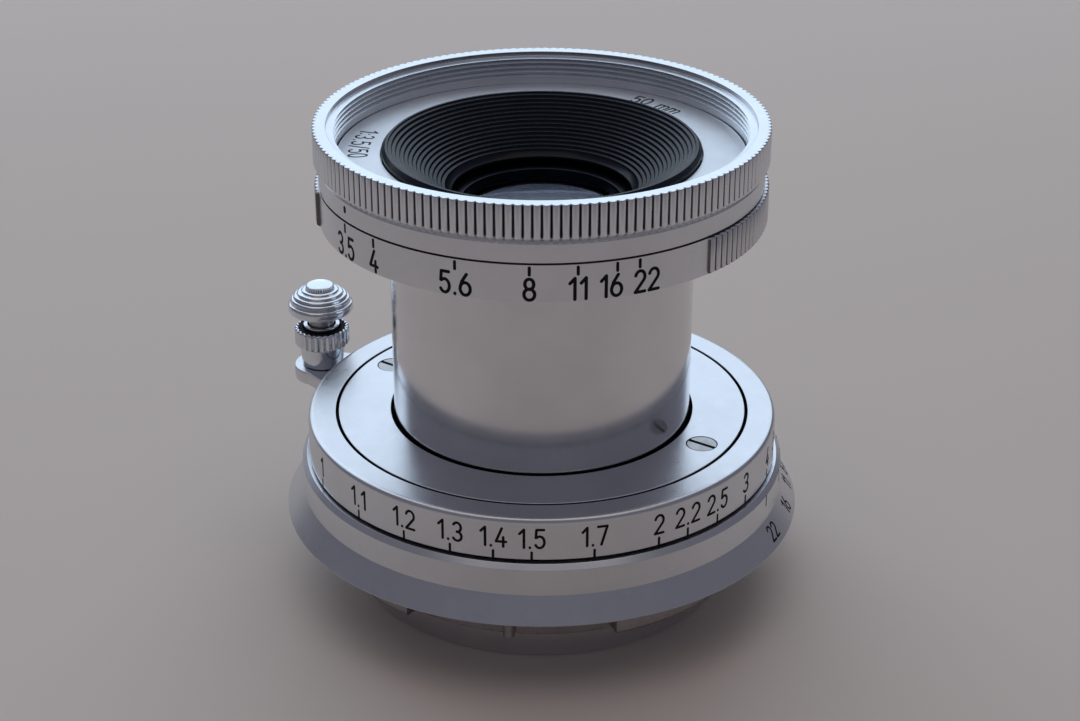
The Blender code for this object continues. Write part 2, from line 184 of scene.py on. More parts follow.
def between(tree, value, dark, light):
    """Mixes two colours by a noise."""
    ramp = tree.nodes.new("ShaderNodeValToRGB")
    ramp.color_ramp.elements[0].position = NOISE_LOW
    ramp.color_ramp.elements[0].color = (*dark, 1.0)
    ramp.color_ramp.elements[1].position = NOISE_HIGH
    ramp.color_ramp.elements[1].color = (*light, 1.0)
    tree.links.new(value, ramp.inputs["Fac"])
    return ramp.outputs["Color"]


def bumps(tree, shader, layers):
    """Chains bump nodes: layers are (height output, strength, distance in metres)."""
    normal = None
    for height, strength, distance in layers:
        node = tree.nodes.new("ShaderNodeBump")
        node.inputs["Strength"].default_value = strength
        node.inputs["Distance"].default_value = distance
        tree.links.new(height, node.inputs["Height"])
        if normal is not None:
            tree.links.new(normal, node.inputs["Normal"])
        normal = node.outputs["Normal"]
    tree.links.new(normal, shader.inputs["Normal"])


def metal(name, dark, light, rough, grain=0.0, lathe_marks=0.0):
    """A plated or turned metal: cloudy colour, uneven roughness, blasted grain and lathe marks."""
    mat, tree, shader = new_material(name)
    shader.inputs["Metallic"].default_value = 1.0
    clouds = noise(tree, 140.0, 4.0)
    tree.links.new(between(tree, clouds, dark, light), shader.inputs["Base Color"])
    mottle = noise(tree, 900.0, 4.0)
    tree.links.new(spread(tree, mottle, rough[0], rough[1]), shader.inputs["Roughness"])
    layers = []
    if grain:
        layers.append((noise(tree, 12000.0, 2.0), grain, 0.000004))
    if lathe_marks:
        marks = noise(tree, 1.0, 2.0, vector=turning_coordinates(tree, 14000.0))
        layers.append((marks, lathe_marks, 0.000006))
    if layers:
        bumps(tree, shader, layers)
    return mat


def black_finish(name, colour, rough, coat, grain):
    """Black anodising or lacquer over metal."""
    mat, tree, shader = new_material(name)
    clouds = noise(tree, 300.0)
    light = tuple(channel * 1.6 + 0.002 for channel in colour)
    tree.links.new(between(tree, clouds, colour, light), shader.inputs["Base Color"])
    mottle = noise(tree, 1500.0)
    tree.links.new(spread(tree, mottle, rough[0], rough[1]), shader.inputs["Roughness"])
    shader.inputs["Specular IOR Level"].default_value = 0.16
    shader.inputs["Coat Weight"].default_value = coat
    shader.inputs["Coat Roughness"].default_value = 0.12
    bumps(tree, shader, [(noise(tree, 9000.0, 2.0), grain, 0.000004)])
    return mat


def coated_glass():
    mat, tree, shader = new_material("coated_glass")
    shader.inputs["Transmission Weight"].default_value = 1.0
    shader.inputs["IOR"].default_value = 1.62
    shader.inputs["Specular IOR Level"].default_value = 0.25
    shader.inputs["Specular Tint"].default_value = (0.55, 0.62, 1.0, 1.0)
    shader.inputs["Base Color"].default_value = (0.90, 0.93, 0.97, 1.0)
    haze = noise(tree, 60.0, 2.0)
    tree.links.new(spread(tree, haze, 0.0, 0.004), shader.inputs["Roughness"])
    return mat


def gloss_enamel(name, dark, light):
    mat, tree, shader = new_material(name)
    tree.links.new(between(tree, noise(tree, 2200.0), dark, light), shader.inputs["Base Color"])
    shader.inputs["Roughness"].default_value = 0.18
    shader.inputs["Coat Weight"].default_value = 0.6
    bumps(tree, shader, [(noise(tree, 1800.0), 0.15, 0.00002)])
    return mat


SATIN = metal("satin_chrome", (0.66, 0.67, 0.70), (0.72, 0.73, 0.76), (0.27, 0.33),
              grain=0.35, lathe_marks=0.12)
BRIGHT_SATIN = metal("turned_satin_chrome", (0.74, 0.77, 0.81), (0.80, 0.83, 0.87), (0.27, 0.33),
                     grain=0.25, lathe_marks=0.16)
MIRROR = metal("polished_chrome", (0.68, 0.68, 0.70), (0.74, 0.74, 0.76), (0.13, 0.18),
               grain=0.08, lathe_marks=0.25)
KNOB = metal("knob_chrome", (0.66, 0.69, 0.74), (0.78, 0.81, 0.86), (0.10, 0.18), grain=0.08)
BRASS = metal("brass", (0.45, 0.33, 0.14), (0.58, 0.44, 0.20), (0.28, 0.42),
              grain=0.12, lathe_marks=0.30)
STEEL = metal("steel", (0.38, 0.37, 0.37), (0.50, 0.49, 0.49), (0.26, 0.40), grain=0.18)
BLUED = metal("blued_steel", (0.035, 0.040, 0.055), (0.060, 0.068, 0.090), (0.34, 0.46))
BLACK = black_finish("black_anodised", (0.006, 0.0065, 0.008), (0.32, 0.44), 0.0, 0.20)
GLOSS_BLACK = black_finish("black_lacquer", (0.004, 0.006, 0.012), (0.26, 0.34), 0.06, 0.06)
PAINT = black_finish("engraving_paint", (0.004, 0.004, 0.0045), (0.50, 0.65), 0.0, 0.30)
# Painted shade: a dull black put on gap walls and recesses, where shade falls between parts.
GAP_SHADE = black_finish("painted_gap_shade", (0.004, 0.004, 0.005), (0.55, 0.75), 0.0, 0.10)
MATT = metal("matt_chrome", (0.72, 0.75, 0.79), (0.79, 0.82, 0.86), (0.47, 0.54), grain=0.35)
# A darker metal for the deeper faces of knurl grooves.
DARK_GROOVE_METAL = metal("darker_groove_metal", (0.13, 0.12, 0.12), (0.21, 0.20, 0.20), (0.40, 0.52),
                grain=0.2)
# Painted shade: a darker copy of the chrome, for the bayonet that stands in the lens's shade on the
# floor.
SHADED = metal("painted_shade_chrome", (0.34, 0.32, 0.33), (0.46, 0.44, 0.45), (0.24, 0.34),
               grain=0.2, lathe_marks=0.2)
GLASS = coated_glass()
RED = gloss_enamel("index_bead", (0.35, 0.010, 0.010), (0.48, 0.018, 0.014))


# ---- turned pieces ----------------------------------------------------------------------------

def eased(outline, steps=3):
    """Rounds the sharp corners of a closed outline. A third value is a corner's own fillet."""
    result = []
    count = len(outline)
    for i, corner in enumerate(outline):
        here = Vector(corner[:2])
        fillet = corner[2] if len(corner) > 2 else EDGE
        back = Vector(outline[i - 1][:2]) - here
        ahead = Vector(outline[(i + 1) % count][:2]) - here
        turn = math.pi - back.angle(ahead)
        on_axis = here.x == 0.0
        if on_axis or fillet == 0.0 or turn < math.radians(25.0):
            result.append(tuple(here))
            continue
        room = min(back.length, ahead.length) * 0.42
        cut = min(fillet * math.tan(turn / 2.0), room)
        start = here + back.normalized() * cut
        end = here + ahead.normalized() * cut
        far = min(cut + EDGE_SUPPORT, room * 1.15)
        result.append(tuple(here + back.normalized() * far))
        for k in range(steps + 1):
            t = k / steps
            result.append(tuple(start * (1 - t) ** 2 + here * 2 * t * (1 - t) + end * t ** 2))
        result.append(tuple(here + ahead.normalized() * far))
    return result


def mesh_object(name, points, faces, mat):
    """A smooth-shaded object from points in mm, with its faces pointing outwards."""
    mesh = bpy.data.meshes.new(name)
    mesh.from_pydata([tuple(point * MM) for point in points], [], faces)
    shape = bmesh.new()
    shape.from_mesh(mesh)
    bmesh.ops.remove_doubles(shape, verts=shape.verts, dist=1e-8)
    bmesh.ops.recalc_face_normals(shape, faces=shape.faces)
    shape.to_mesh(mesh)
    shape.free()
    mesh.shade_smooth()
    mesh.set_sharp_from_angle(angle=SHARP)
    mesh.materials.append(mat)
    obj = bpy.data.objects.new(name, mesh)
    bpy.context.scene.collection.objects.link(obj)
    return obj


def turned(name, outline, mat, segments=SEGMENTS, shape=None, azimuths=None, centre=(0.0, 0.0)):
    """A solid of revolution. `shape` changes a radius by azimuth, for teeth, lugs and flutes."""
    rows = azimuths or [360.0 * i / segments for i in range(segments)]
    count = len(outline)
    offset = Vector((centre[0], centre[1], 0.0))
    points = []
    for azimuth in rows:
        for radius, height in outline:
            if shape is not None and radius > 0.0:
                radius = shape(azimuth, radius, height)
            points.append(polar(radius, azimuth, height) + offset)
    faces = []
    for i in range(len(rows)):
        following = (i + 1) % len(rows)
        for k in range(count):
            after = (k + 1) % count
            if outline[k][0] == 0.0 and outline[after][0] == 0.0:
                continue
            corners = [i * count + k, following * count + k, following * count + after,
                       i * count + after]
            if outline[k][0] == 0.0:
                corners.pop(1)
            elif outline[after][0] == 0.0:
                corners.pop(2)
            faces.append(corners)
    return mesh_object(name, points, faces, mat)


def knurled(outer, plain=None, spans=None):
    """Straight teeth with round tips on radii near `outer`; between spans the radius is `plain`."""
    def shape(azimuth, radius, height):
        if radius < outer - KNURL_BAND:
            return radius
        if spans is not None and not any(0.0 <= (azimuth - start) % 360.0 <= GRIP_SPAN
                                         for start in spans):
            return min(radius, plain)
        phase = azimuth * KNURL_TEETH / 360.0
        ridge = abs(math.sin(math.pi * phase)) ** 0.6
        return radius - KNURL_DEPTH * (1.0 - ridge)
    return shape


def darken(piece, inner, outer, z_low, z_high, mat=GAP_SHADE, centre=(0.0, 0.0)):
    """Gives the faces between two radii and two heights another material, mostly painted shade in
    gaps and recesses.
    """
    piece.data.materials.append(mat)
    for face in piece.data.polygons:
        radius = math.hypot(face.center.x / MM - centre[0], face.center.y / MM - centre[1])
        if inner < radius < outer and z_low < face.center.z / MM < z_high:
            face.material_index = len(piece.data.materials) - 1


def stand_in(piece, node):
    """The piece takes a CAD node's place and moves with its body."""
    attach(piece, frame["nodes"][node]["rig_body"])
    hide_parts(node)


def apply_modifiers(obj):
    """Replaces an object's mesh with its evaluated one, so that no modifier is left."""
    graph = bpy.context.evaluated_depsgraph_get()
    mesh = bpy.data.meshes.new_from_object(obj.evaluated_get(graph))
    obj.modifiers.clear()
    obj.data = mesh


def carve(target, cutters):
    """Cuts boxes or rods out of a piece and removes them."""
    for cutter in cutters:
        change = target.modifiers.new("cut", "BOOLEAN")
        change.operation = "DIFFERENCE"
        change.solver = "EXACT"
        change.object = cutter
    bpy.context.view_layer.update()
    apply_modifiers(target)
    target.data.shade_smooth()
    target.data.set_sharp_from_angle(angle=SHARP)
    for cutter in cutters:
        bpy.data.objects.remove(cutter, do_unlink=True)


def bar(name, size, centre, turn):
    """A box in mm, turned about Z, for cutting."""
    shape = bmesh.new()
    bmesh.ops.create_cube(shape, size=1.0)
    points = []
    angle = math.radians(turn)
    for vert in shape.verts:
        x, y, z = (vert.co[i] * size[i] for i in range(3))
        points.append(Vector((x * math.cos(angle) - y * math.sin(angle) + centre[0],
                              x * math.sin(angle) + y * math.cos(angle) + centre[1],
                              z + centre[2])))
    faces = [[v.index for v in face.verts] for face in shape.faces]
    shape.free()
    return mesh_object(name, points, faces, STEEL)


# ---- engraved figures -------------------------------------------------------------------------

def bow(x, y, rx, ry, start, end, steps=14):
    """Points along part of an ellipse, angles in degrees from +X."""
    points = []
    for i in range(steps + 1):
        angle = math.radians(start + (end - start) * i / steps)
        points.append((x + rx * math.cos(angle), y + ry * math.sin(angle)))
    return points


# Strokes of each figure in a cell one unit high, as an engraving machine's stylus follows them
FIGURES = {
    "0": (0.56, [bow(0.28, 0.5, 0.28, 0.5, 0, 360, 28)]),
    "1": (0.34, [[(0.04, 0.76), (0.30, 1.0)], [(0.30, 1.0), (0.30, 0.0)]]),
    "2": (0.56, [bow(0.28, 0.72, 0.27, 0.28, 165, -35) + [(0.0, 0.0)], [(0.0, 0.0), (0.56, 0.0)]]),
    "3": (0.54, [bow(0.26, 0.745, 0.24, 0.255, 150, -90), bow(0.26, 0.255, 0.27, 0.255, 90, -150)]),
    "4": (0.58, [[(0.34, 1.0), (0.0, 0.27)], [(0.0, 0.27), (0.58, 0.27)],
                 [(0.42, 0.52), (0.42, 0.0)]]),
    "5": (0.54, [[(0.50, 1.0), (0.08, 1.0)], [(0.08, 1.0), (0.04, 0.56)],
                 bow(0.26, 0.32, 0.27, 0.32, 130, -150)]),
    "6": (0.56, [bow(0.28, 0.30, 0.28, 0.30, 0, 360, 24),
                 [(0.01, 0.36), (0.10, 0.64), (0.36, 1.0)]]),
    "7": (0.54, [[(0.0, 1.0), (0.54, 1.0)], [(0.54, 1.0), (0.20, 0.0)]]),
    "8": (0.56, [bow(0.28, 0.755, 0.23, 0.245, 0, 360, 22),
                 bow(0.28, 0.265, 0.28, 0.265, 0, 360, 24)]),
    ".": (0.10, [[(0.05, 0.0), (0.05, 0.02)]]),
    ":": (0.10, [[(0.05, 0.12), (0.05, 0.14)], [(0.05, 0.60), (0.05, 0.62)]]),
    "/": (0.40, [[(0.0, -0.05), (0.40, 1.05)]]),
    "m": (0.78, [[(0.0, 0.0), (0.0, 0.62)], bow(0.20, 0.42, 0.19, 0.20, 180, 0, 10) + [(0.39, 0.0)],
                 bow(0.58, 0.42, 0.19, 0.20, 180, 0, 10) + [(0.77, 0.0)]]),
    "~": (0.96, [bow(0.24, 0.45, 0.24, 0.22, 0, 360, 20), bow(0.72, 0.45, 0.24, 0.22, 0, 360, 20)]),
    " ": (0.35, []),
}
FIGURE_WIDTH = 0.84       # the face is narrow
FIGURE_GAP = 0.21         # space between figures, as a share of their height
PATH_STEP = 0.3           # longest step along a stroke, so that it bends with the surface


def strokes_of(text, height):
    """Strokes of a centred line of figures, with its left and right ends, in mm."""
    widths = [FIGURES[c][0] * FIGURE_WIDTH for c in text]
    total = sum(widths) + FIGURE_GAP * (len(text) - 1)
    x = -total / 2.0
    strokes = []
    for c, width in zip(text, widths):
        for path in FIGURES[c][1]:
            strokes.append([((x + px * FIGURE_WIDTH) * height, (py - 0.5) * height)
                            for px, py in path])
        x += width + FIGURE_GAP
    return strokes


def refined(path):
    """The same path with no step longer than PATH_STEP."""
    points = [Vector(path[0])]
    for a, b in zip(path, path[1:]):
        start, end = Vector(a), Vector(b)
        parts = max(1, math.ceil((end - start).length / PATH_STEP))
        for k in range(1, parts + 1):
            points.append(start.lerp(end, k / parts))
    return points


class Engraving:
    """Collects paint-filled strokes on curved surfaces and turns them into one piece."""

    def __init__(self):
        self.points = []
        self.faces = []
        self.layer = 0

    def stroke(self, path, width, surface):
        """One stroke with round ends, as a closed ribbon that follows the surface."""
        centres = refined(path)
        closed = (centres[0] - centres[-1]).length < 1e-6
        sections = []
        for i, here in enumerate(centres):
            before = centres[i - 1] if i else (centres[-2] if closed else here)
            after = centres[i + 1] if i + 1 < len(centres) else (centres[1] if closed else here)
            sections.append((here, (after - before).normalized(), width / 2.0))
        if not closed:
            sections = self.with_round_ends(sections, width)
        lift = PAINT_HEIGHT + PAINT_LAYER * (self.layer % 4)
        self.layer += 1
        first = len(self.points)
        for here, along, half in sections:
            across = Vector((-along.y, along.x)) * half
            for side, height in ((across, lift), (-across, lift),
                                 (-across, -PAINT_DEPTH), (across, -PAINT_DEPTH)):
                self.points.append(surface(here.x + side.x, here.y + side.y, height))
        links = len(sections) - 1
        for i in range(links):
            a = first + 4 * i
            b = a + 4
            for k in range(4):
                after = (k + 1) % 4
                self.faces.append([a + k, a + after, b + after, b + k])
        if not closed:
            self.faces.append([first, first + 1, first + 2, first + 3])
            last = first + 4 * links
            self.faces.append([last, last + 1, last + 2, last + 3])

    @staticmethod
    def with_round_ends(sections, width):
        start, end = sections[0], sections[-1]
        angles = (80.0, 55.0, 28.0)
        head = []
        for degrees in angles:
            reach_out = width / 2.0 * math.sin(math.radians(degrees))
            half = width / 2.0 * math.cos(math.radians(degrees))
            head.append((start[0] - start[1] * reach_out, start[1], half))
        tail = []
        for degrees in reversed(angles):
            reach_out = width / 2.0 * math.sin(math.radians(degrees))
            half = width / 2.0 * math.cos(math.radians(degrees))
            tail.append((end[0] + end[1] * reach_out, end[1], half))
        return head + sections + tail

    def text(self, text, height, width, surface, nudge=0.0):
        for path in strokes_of(text, height):
            self.stroke([(x + nudge, y) for x, y in path], width, surface)

    def piece(self, name, body):
        obj = mesh_object(name, self.points, self.faces, PAINT)
        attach(obj, body)
        return obj


def on_slope(radius, height, azimuth, lean=0.0):
    """A surface around the axis: across follows the circle, up runs up a wall leaning inwards."""
    lean_angle = math.radians(lean)

    def surface(u, v, lift):
        r = radius - v * math.sin(lean_angle) + lift * math.cos(lean_angle)
        z = height + v * math.cos(lean_angle) + lift * math.sin(lean_angle)
        return polar(r, azimuth + math.degrees(u / radius), z)
    return surface


def on_face(radius, height, azimuth, outward):
    """A flat face square to the axis; the figures' tops point outwards or inwards."""
    sign = 1.0 if outward else -1.0

    def surface(u, v, lift):
        return polar(radius + sign * v, azimuth - sign * math.degrees(u / radius), height + lift)
    return surface


# ---- the fixed mount --------------------------------------------------------------------------

BAND_TOP = top("mount_flange")
FLANGE_R = reach("mount_flange")
BAND_R = FLANGE_R - 1.65
BAND_LOW = 2.4
CONE_LEAN = math.degrees(math.atan2(FLANGE_R - BAND_R, BAND_LOW - 0.2))


def build_mount():
    flange = turned("mount_flange_turned", eased([
        (BAND_R - 0.45, BAND_TOP, 0.04), (BAND_R, BAND_TOP - 0.45, 0.04), (BAND_R, BAND_LOW, 0.05),
        (FLANGE_R, 0.2, 0.05), (FLANGE_R - 0.2, 0.0, 0.04), (20.5, 0.0), (20.5, BAND_TOP)]), SATIN)
    stand_in(flange, "mount_flange")

    build_bayonet()

    cam_top, cam_low, cam_r = top("cam_ring"), low("cam_ring"), reach("cam_ring")
    cam = turned("cam_ring_turned", eased([
        (cam_r, cam_top), (cam_r, cam_low + 0.2), (cam_r - 0.2, cam_low), (cam_r - 1.8, cam_low),
        (cam_r - 1.8, cam_top)]), MIRROR)
    stand_in(cam, "cam_ring")

    lowest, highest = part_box("mount_index_bead")
    centre = (lowest + highest) / 2.0 / MM
    bead = bead_piece(centre, (highest.x - lowest.x) / MM * 0.52)
    stand_in(bead, "mount_index_bead")


LUG_CENTRES = (-54.0, 36.0, 126.0, 216.0)
LUG_SPAN = 33.0
LUG_HIGH, LUG_LOW = -1.6, -4.2


def build_bayonet():
    """The bayonet: a collar with four lugs whose ends are cut square."""
    outer = reach("bayonet_ring")
    collar_r = outer - 1.75
    collar_low, collar_top = low("bayonet_ring"), top("bayonet_ring")
    bore = 18.6

    def lugs(azimuth, radius, height):
        if radius <= collar_r:
            return radius
        on_lug = any(abs((azimuth - centre + 180.0) % 360.0 - 180.0) <= LUG_SPAN / 2.0
                     for centre in LUG_CENTRES)
        return radius if on_lug else collar_r
    azimuths = [360.0 * i / SEGMENTS for i in range(SEGMENTS)]
    for centre in LUG_CENTRES:
        for end in (centre - LUG_SPAN / 2.0, centre + LUG_SPAN / 2.0):
            azimuths += [(end - 0.02) % 360.0, (end + 0.02) % 360.0]
    # The bayonet ring takes the darker chrome as painted shade.
    ring = turned("bayonet_ring_turned", eased([
        (collar_r, collar_top), (collar_r, LUG_HIGH, 0.0), (outer, LUG_HIGH, 0.12),
        (outer, LUG_LOW, 0.25), (collar_r, LUG_LOW, 0.0), (collar_r, collar_low),
        (bore, collar_low), (bore, collar_top)]), SHADED, shape=lugs, azimuths=sorted(azimuths))
    screws = []
    for i in range(4):
        node = f"bayonet_screw_{i + 1}"
        place = middle(node)
        hole = turned(f"screw_hole_{i + 1}", [(0.0, -1.9), (0.72, -1.9), (0.72, -6.0), (0.0, -6.0)],
                      STEEL, 40, centre=(place.x, place.y))
        screws.append(hole)
        head = turned(f"bayonet_screw_{i + 1}_turned", eased([
            (0.0, -2.2), (0.55, -2.2), (0.55, low(node) + 0.02), (0.0, low(node) + 0.02)]),
            STEEL, 40, centre=(place.x, place.y))
        slot = bar(f"screw_slot_{i + 1}", (2.0, 0.2, 0.6), (place.x, place.y, low(node)), 40.0 * i)
        carve(head, [slot])
        stand_in(head, node)
    carve(ring, screws)
    stand_in(ring, "bayonet_ring")


def bead_piece(centre, radius):
    """A small glossy ball sunk into the mount's cone."""
    shape = bmesh.new()
    bmesh.ops.create_uvsphere(shape, u_segments=40, v_segments=24, radius=1.0)
    points = [centre + vert.co * radius for vert in shape.verts]
    faces = [[v.index for v in face.verts] for face in shape.faces]
    shape.free()
    return mesh_object("mount_index_bead_domed", points, faces, RED)


# ---- scales -----------------------------------------------------------------------------------

DISTANCES = (1, 1.1, 1.2, 1.3, 1.4, 1.5, 1.7, 2, 2.2, 2.5, 3, 4, 5, 10)
INFINITY_AZIMUTH = 112.0
DEPTH_STOPS = (22, 16, 11, 8, 5.6, 4)
UNNUMBERED_STOP = 4       # two numbers would touch here
BESIDE_BEAD = (22, 1.0)   # the stop and side whose number stands next to the mounting bead
BEAD_NUDGE = -0.55
APERTURES = (3.5, 4, 5.6, 8, 11, 16, 22)
APERTURE_NUDGES = {16: -0.55, 22: 0.70}   # the last figures stand beside their marks
FIRST_APERTURE_AZIMUTH = -57.2


def distance_azimuth(metres):
    """Where a 50 mm lens's focusing ring stops for a distance from the film."""
    return INFINITY_AZIMUTH - 160.0 / (metres - 0.1)


def aperture_azimuth(stop):
    """The iris ring turns 6.75 degrees for each millimetre of the opening's width."""
    return FIRST_APERTURE_AZIMUTH + 6.75 * (50.0 / FULL_OPENING - 50.0 / stop)


def distance_scale():
    scale = Engraving()
    places = [(distance_azimuth(metres), f"{metres:g}") for metres in DISTANCES]
    for azimuth, text in places + [(INFINITY_AZIMUTH, "~")]:
        scale.text(text, 1.85, 0.25, on_slope(FOCUS_R, FOCUS_SIDE_LOW + 2.15, azimuth))
        scale.stroke([(0.0, 0.05), (0.0, 0.75)], 0.24, on_slope(FOCUS_R, FOCUS_SIDE_LOW, azimuth))
    scale.piece("distance_scale", "focus")


def depth_scale():
    scale = Engraving()
    degrees_per_stop = 46.9 / 22.0   # the marks for 22 stand 46.9 degrees from the middle
    cone_mid_r = (FLANGE_R + BAND_R) / 2.0
    cone_mid_z = (BAND_LOW + 0.2) / 2.0
    for stop in DEPTH_STOPS:
        for side in (-1.0, 1.0):
            azimuth = INFINITY_AZIMUTH + side * stop * degrees_per_stop
            scale.stroke([(0.0, 0.0), (0.0, 1.0)], 0.20, on_slope(BAND_R, BAND_TOP - 1.5, azimuth))
            if stop > UNNUMBERED_STOP:
                nudge = BEAD_NUDGE if (stop, side) == BESIDE_BEAD else 0.0
                scale.text(f"{stop:g}", 1.45, 0.20,
                           on_slope(cone_mid_r, cone_mid_z, azimuth, CONE_LEAN), nudge=nudge)
    scale.stroke([(0.0, 0.0), (0.0, 2.3)], 0.26, on_slope(BAND_R, BAND_LOW + 0.2, INFINITY_AZIMUTH))
    scale.piece("depth_scale", "mount")


def aperture_scale():
    ring_top = top("aperture_ring")
    scale = Engraving()
    for stop in APERTURES:
        azimuth = aperture_azimuth(stop)
        scale.text(f"{stop:g}", 1.95, 0.30, on_slope(APERTURE_R, ring_top - 2.25, azimuth),
                   nudge=APERTURE_NUDGES.get(stop, 0.0))
        scale.stroke([(0.0, 0.0), (0.0, 0.66)], 0.28,
                     on_slope(APERTURE_R, ring_top - 0.90, azimuth))
    scale.piece("aperture_scale", "aperture")


# ---- the focusing ring and its lock -----------------------------------------------------------

def build_focus():
    disc_top = top("focus_ring")
    skirt_low = low("focus_ring")
    ring = turned("focus_ring_turned", eased([
        (FOCUS_R, disc_top, 0.55), (FOCUS_R, FOCUS_SIDE_LOW, 0.08), (20.25, FOCUS_SIDE_LOW),
        (20.25, skirt_low), (19.7, skirt_low), (19.7, 8.6), (19.95, 8.6), (19.95, disc_top, 0.07)],
        steps=5), SATIN)
    # Painted shade on the ring's inner wall, in the gap around the cover disc.
    darken(ring, 19.6, 19.99, 1.0, disc_top - 0.12)
    stand_in(ring, "focus_ring")
    distance_scale()
    build_tab()
    build_knob()


def extruded(name, outline, z_low, z_top, edge, mat):
    """A flat plate with rounded edges, from an outline in mm."""
    curve = bpy.data.curves.new(name, "CURVE")
    curve.dimensions = "2D"
    curve.fill_mode = "BOTH"
    curve.extrude = ((z_top - z_low) / 2.0 - edge) * MM
    curve.bevel_depth = edge * MM
    curve.bevel_resolution = 3
    curve.offset = -edge * MM
    spline = curve.splines.new("POLY")
    spline.points.add(len(outline) - 1)
    for point, place in zip(spline.points, outline):
        point.co = (place[0] * MM, place[1] * MM, 0.0, 1.0)
    spline.use_cyclic_u = True
    flat = bpy.data.objects.new(name, curve)
    bpy.context.scene.collection.objects.link(flat)
    bpy.context.view_layer.update()
    graph = bpy.context.evaluated_depsgraph_get()
    mesh = bpy.data.meshes.new_from_object(flat.evaluated_get(graph))
    bpy.data.objects.remove(flat, do_unlink=True)
    shape = bmesh.new()
    shape.from_mesh(mesh)
    bmesh.ops.remove_doubles(shape, verts=shape.verts, dist=1e-7)
    points = [Vector((v.co.x, v.co.y, v.co.z)) / MM + Vector((0.0, 0.0, (z_low + z_top) / 2.0))
              for v in shape.verts]
    faces = [[v.index for v in face.verts] for face in shape.faces]
    shape.free()
    return mesh_object(name, points, faces, mat)


def arc_points(radius, start, end, steps, centre=(0.0, 0.0)):
    points = []
    for i in range(steps + 1):
        place = polar(radius, start + (end - start) * i / steps, 0.0)
        points.append((place.x + centre[0], place.y + centre[1]))
    return points


def build_tab():
    """The tab that carries the knob: a round lobe that runs into the focusing ring."""
    centre = polar(KNOB_R_FROM_AXIS, KNOB_AZIMUTH, 0.0)
    lobe = arc_points(2.95, KNOB_AZIMUTH - 95.0, KNOB_AZIMUTH + 95.0, 40, (centre.x, centre.y))
    root = arc_points(FOCUS_R + 0.12, KNOB_AZIMUTH + 11.0, KNOB_AZIMUTH - 11.0, 16)
    tab = extruded("focus_tab_formed", lobe + root, low("focus_tab"), top("focus_tab"), 0.14, SATIN)
    stand_in(tab, "focus_tab")


def build_knob():
    place = middle("lock_cap")
    centre = (place.x, place.y)
    post_top = top("knob_post")
    post = turned("knob_post_turned", eased([
        (1.85, post_top), (1.85, 9.55), (2.3, 9.5, 0.12), (2.15, low("knob_post")),
        (0.75, low("knob_post")), (0.75, 8.2), (1.45, 8.2), (1.45, post_top)]),
        KNOB, 96, centre=centre)
    stand_in(post, "knob_post")

    flutes = 26
    collar_top, collar_low = top("knob_collar"), low("knob_collar")

    def fluted(azimuth, radius, height):
        if radius < 2.3:
            return radius
        return radius - 0.20 * (0.5 + 0.5 * math.cos(math.radians(azimuth * flutes))) ** 1.5
    collar = turned("knob_collar_fluted", eased([
        (2.8, collar_top, 0.22), (2.8, collar_low, 0.22), (1.95, collar_low), (1.95, collar_top)]),
        KNOB, flutes * 10, shape=fluted, centre=centre)
    # Painted shade on the collar's top face, which lies in the shadow under the cap.
    darken(collar, 1.9, 2.45, collar_top - 0.05, collar_top + 0.05, centre=centre)
    stand_in(collar, "knob_collar")

    build_cap(centre)

    plunger_top, foot = top("lock_plunger"), low("lock_plunger")
    plunger = turned("lock_plunger_turned", eased([
        (0.0, plunger_top), (1.3, plunger_top), (1.3, PLUNGER_SHOULDER),
        (0.6, PLUNGER_SHOULDER), (0.6, 3.65), (1.25, 3.65), (1.25, foot), (0.0, foot)]),
        STEEL, 72, centre=centre)
    stand_in(plunger, "lock_plunger")
    build_spring(centre)


def build_spring(centre):
    """The lock's coil spring."""
    rings, around, turns = 160, 12, 4
    coil_r, wire_r = 1.08, 0.14
    foot, head = low("lock_spring") + wire_r, top("lock_spring") - wire_r
    points = []
    for i in range(rings + 1):
        turn = math.tau * turns * i / rings
        for k in range(around):
            angle = math.tau * k / around
            radius = coil_r + wire_r * math.cos(angle)
            height = foot + (head - foot) * i / rings + wire_r * math.sin(angle)
            points.append(Vector((centre[0] + radius * math.cos(turn),
                                  centre[1] + radius * math.sin(turn), height)))
    faces = [tuple(range(around)), tuple(range(rings * around, (rings + 1) * around))]
    for i in range(rings):
        for k in range(around):
            here, after = i * around + k, i * around + (k + 1) % around
            faces.append((here, here + around, after + around, after))
    spring = mesh_object("lock_spring_coil", points, faces, STEEL)
    stand_in(spring, "lock_spring")
    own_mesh(spring)


